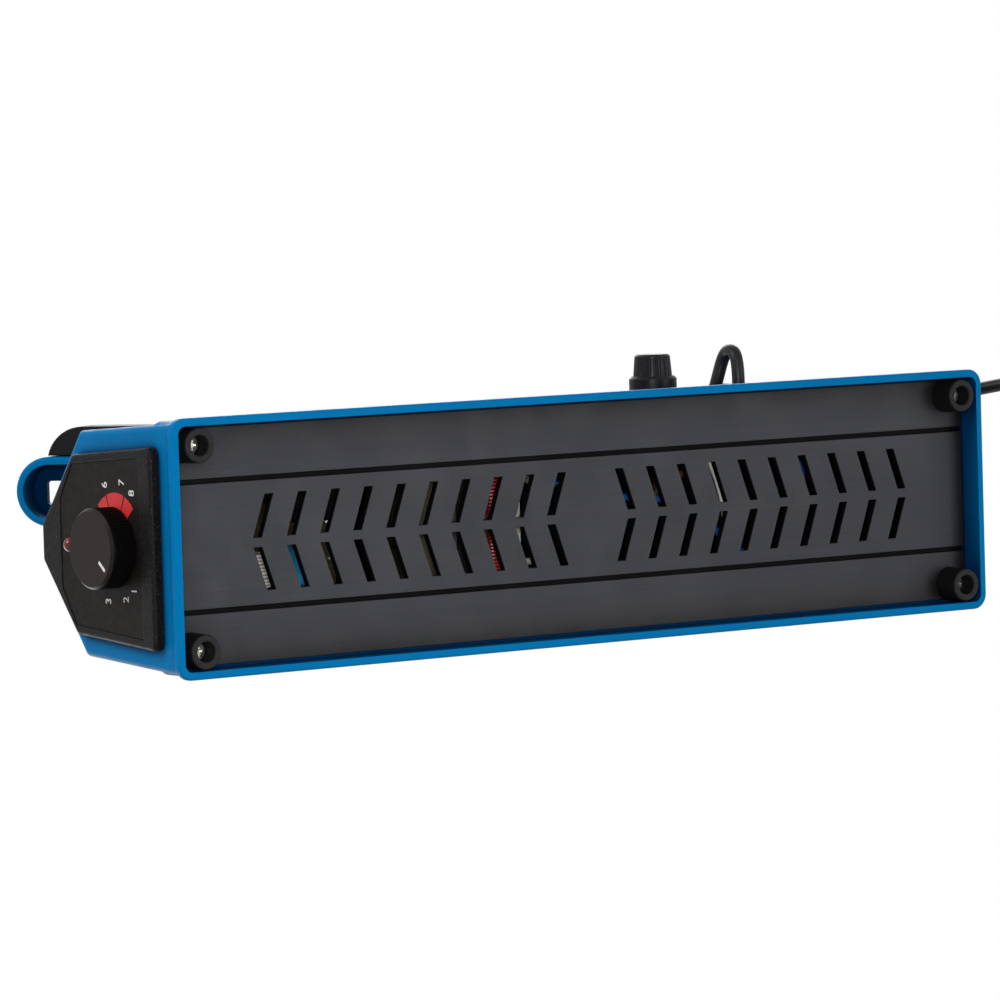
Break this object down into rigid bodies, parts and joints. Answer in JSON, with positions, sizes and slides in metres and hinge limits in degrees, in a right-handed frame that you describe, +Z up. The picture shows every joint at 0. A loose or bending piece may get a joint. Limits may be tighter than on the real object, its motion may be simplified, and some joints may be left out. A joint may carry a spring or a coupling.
{
  "type": "impulse heat sealer",
  "caption": "Benchtop impulse bag sealer with a hinged press arm over a heated sealing bed, a timer dial on one end and a mains cord with plug.",
  "frame": {"origin": "on the table under the middle of the base, in the plane of the feet", "axes": "+X towards the control panel, +Y towards the fuse and cord side, +Z up"},
  "size_m": [0.4398, 0.142, 0.3218],
  "materials": {
    "shell_plastic": "satin moulded blue",
    "black_plastic": "fine-grained black",
    "plate_plastic": "satin dark grey",
    "rubber": "matt black",
    "steel": "plated",
    "aluminium": "mill finish",
    "label": "printed black sheet",
    "white_plastic": "white",
    "lamp": "tinted red",
    "fuse_glass": "clear tube",
    "bakelite": "brown phenolic",
    "nichrome": "drawn strip",
    "slip_cloth": "brown coated glass cloth",
    "silicone": "red silicone",
    "laminations": "varnished laminations",
    "tape": "khaki insulating tape",
    "red_wire": "enamelled",
    "board": "phenolic board",
    "blue_disc": "dipped",
    "blue_wire": "insulation",
    "brown_wire": "insulation",
    "brass": "plated",
    "cord": "soft black jacket"
  },
  "bodies": {
    "base": {"body_shell": "shell_plastic", "bottom_plate": "plate_plastic", "rubber_feet": "rubber", "foot_screws": "steel", "control_panel": "black_plastic", "dial_label": "label", "potentiometer": "steel", "potentiometer_nut": "steel", "indicator_lamp": "lamp", "fuse_holder": "black_plastic", "cord_bushing": "black_plastic", "sealing_bed": "bakelite", "heating_element": "nichrome", "element_clamps": "brass", "bed_cover": "slip_cloth", "cover_strips": "aluminium", "hinge_bracket": "steel", "hinge_pin": "steel", "pin_clip": "steel", "deck_screws": "steel", "micro_switch": "black_plastic", "switch_bracket": "steel", "transformer_core": "laminations", "primary_winding": "tape", "winding_spool": "white_plastic", "secondary_winding": "red_wire", "transformer_frame": "steel", "circuit_board": "board", "board_posts": "white_plastic", "disc_capacitor": "blue_disc", "ribbed_resistor": "white_plastic", "relay": "black_plastic", "brown_wire": "brown_wire", "blue_wire": "blue_wire", "white_wire": "white_plastic", "power_cord": "cord", "cord_coil": "cord", "cord_tie": "cord", "plug_body": "cord", "plug_blades": "brass", "plug_lead": "cord"},
    "arm": {"lever_arm": "shell_plastic", "arm_cover": "black_plastic", "press_bar": "aluminium", "silicone_strip": "silicone", "arm_screws": "steel", "return_spring": "steel"},
    "knob": {"time_knob": "black_plastic", "knob_pointer": "white_plastic", "potentiometer_shaft": "aluminium"},
    "fuse_carrier": {"fuse_cap": "black_plastic", "glass_fuse": "fuse_glass"},
    "plunger": {"switch_plunger": "white_plastic"}
  },
  "joints": [
    {"name": "arm_hinge", "type": "hinge", "parent": "base", "child": "arm", "pos_m": [-0.14, 0, 0.0932], "axis": [0, 1, 0], "range_deg": [0, 52.6], "stiffness_Nm_per_rad": 0.3, "springref_deg": -51.57},
    {"name": "knob_turn", "type": "hinge", "parent": "base", "child": "knob", "pos_m": [0.167, 0, 0.0324], "axis": [-1, 0, 0], "range_deg": [0, 270]},
    {"name": "fuse_cap_turn", "type": "hinge", "parent": "base", "child": "fuse_carrier", "pos_m": [-0.0456, 0.045, 0.0312], "axis": [0, -1, 0], "range_deg": [0, 60]},
    {"name": "plunger_slide", "type": "slide", "parent": "base", "child": "plunger", "axis": [0, 0, -1], "range_m": [0, 0.0025], "stiffness_N_per_m": 200, "springref_m": -0.002}
  ]
}
